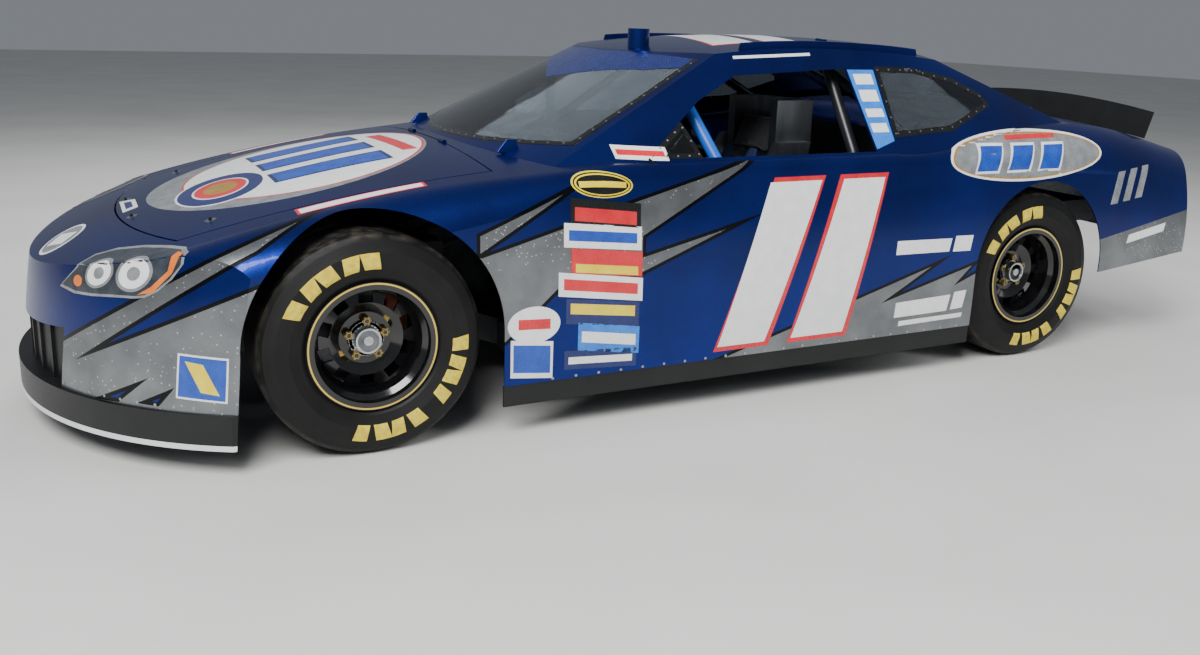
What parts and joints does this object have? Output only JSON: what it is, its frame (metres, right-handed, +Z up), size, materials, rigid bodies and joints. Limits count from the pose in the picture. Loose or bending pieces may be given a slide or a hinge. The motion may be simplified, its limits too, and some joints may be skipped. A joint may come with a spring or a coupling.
{
  "type": "stock car",
  "caption": "Full-bodied oval-track stock car with a caged cabin, open side windows, slick tyres, a slatted nose and a low tail spoiler.",
  "frame": {"origin": "on the ground, midway along and across the car", "axes": "+X to the car's left side, +Y to its tail (the nose points to -Y), +Z up"},
  "size_m": [1.8642, 4.9322, 1.3199],
  "materials": {
    "blue_paint": "deep metallic blue, clear coated",
    "black_paint": "satin black",
    "grey_steel": "grey painted tube and sheet",
    "bare_aluminium": "brushed sheet",
    "clear_sheet": "clear polycarbonate",
    "black_plastic": "moulded black",
    "wheel_steel": "gloss black steel",
    "tyre": "worn slick",
    "hub_metal": "machined steel",
    "engine_metal": "cast",
    "seat_black": "padded black shell",
    "exhaust_metal": "heat-stained"
  },
  "bodies": {
    "chassis": {"nose_cover": "blue_paint", "grille_screen": "black_plastic", "air_dam": "black_plastic", "cowl_panel": "blue_paint", "front_fenders": "blue_paint", "door_panels": "blue_paint", "quarter_panels": "blue_paint", "tail_cover": "blue_paint", "roof_shell": "blue_paint", "windshield": "clear_sheet", "rear_window": "clear_sheet", "side_windows": "clear_sheet", "side_skirts": "black_plastic", "frame_rails": "grey_steel", "roll_cage": "blue_paint", "floor_pan": "grey_steel", "firewalls": "grey_steel", "racing_seat": "seat_black", "dashboard": "black_paint", "steering_column": "black_paint", "engine_block": "engine_metal", "driveline": "bare_aluminium", "front_arms": "black_paint", "rear_axle": "black_paint", "trailing_arms": "black_paint", "rear_springs": "black_paint", "fuel_cell": "black_plastic", "exhaust_pipe": "exhaust_metal", "roof_camera_pod": "blue_paint"},
    "hood": {"hood": "blue_paint"},
    "deck_lid": {"deck_lid": "blue_paint", "rear_spoiler": "black_plastic"},
    "roof_flap_left": {"roof_flap_left": "blue_paint"},
    "roof_flap_right": {"roof_flap_right": "blue_paint"},
    "steering_wheel": {"steering_wheel": "black_plastic"},
    "knuckle_left": {"knuckle_left": "hub_metal"},
    "knuckle_right": {"knuckle_right": "hub_metal"},
    "wheel_front_left": {"wheel_front_left": "wheel_steel", "tyre_front_left": "tyre"},
    "wheel_front_right": {"wheel_front_right": "wheel_steel", "tyre_front_right": "tyre"},
    "wheel_rear_left": {"wheel_rear_left": "wheel_steel", "tyre_rear_left": "tyre"},
    "wheel_rear_right": {"wheel_rear_right": "wheel_steel", "tyre_rear_right": "tyre"}
  },
  "joints": [
    {"name": "steer_left", "type": "hinge", "parent": "chassis", "child": "knuckle_left", "pos_m": [0.588, -1.467, 0.225], "axis": [-0.1219, 0, 0.9925], "range_deg": [-18, 18]},
    {"name": "roll_front_left", "type": "hinge", "parent": "knuckle_left", "child": "wheel_front_left", "pos_m": [0.755, -1.467, 0.352], "axis": [1, 0, 0], "continuous": true},
    {"name": "roll_rear_left", "type": "hinge", "parent": "chassis", "child": "wheel_rear_left", "pos_m": [0.755, 1.327, 0.352], "axis": [1, 0, 0], "continuous": true},
    {"name": "steer_right", "type": "hinge", "parent": "chassis", "child": "knuckle_right", "pos_m": [-0.588, -1.467, 0.225], "axis": [0.1219, 0, 0.9925], "range_deg": [-18, 18]},
    {"name": "roll_front_right", "type": "hinge", "parent": "knuckle_right", "child": "wheel_front_right", "pos_m": [-0.755, -1.467, 0.352], "axis": [1, 0, 0], "continuous": true},
    {"name": "roll_rear_right", "type": "hinge", "parent": "chassis", "child": "wheel_rear_right", "pos_m": [-0.755, 1.327, 0.352], "axis": [1, 0, 0], "continuous": true},
    {"name": "steering_wheel_turn", "type": "hinge", "parent": "chassis", "child": "steering_wheel", "pos_m": [0.385, -0.24, 0.79], "axis": [0, 0.9611, 0.2761], "range_deg": [-216, 216]},
    {"name": "hood_hinge", "type": "hinge", "parent": "chassis", "child": "hood", "pos_m": [0, -1.019, 0.89514], "axis": [-1, 0, 0], "range_deg": [0, 55]},
    {"name": "deck_lid_hinge", "type": "hinge", "parent": "chassis", "child": "deck_lid", "pos_m": [0, 1.863, 0.9812], "axis": [1, 0, 0], "range_deg": [0, 65]},
    {"name": "roof_flap_left_hinge", "type": "hinge", "parent": "chassis", "child": "roof_flap_left", "pos_m": [0.295, 0.607, 1.29092], "axis": [0.9978, 0, -0.0657], "range_deg": [0, 80]},
    {"name": "roof_flap_right_hinge", "type": "hinge", "parent": "chassis", "child": "roof_flap_right", "pos_m": [-0.295, 0.607, 1.29092], "axis": [0.9978, 0, 0.0657], "range_deg": [0, 80]}
  ],
  "couplings": [
    {"joint": "steer_right", "follows": "steer_left", "ratio": 1},
    {"joint": "steering_wheel_turn", "follows": "steer_left", "ratio": 12}
  ]
}
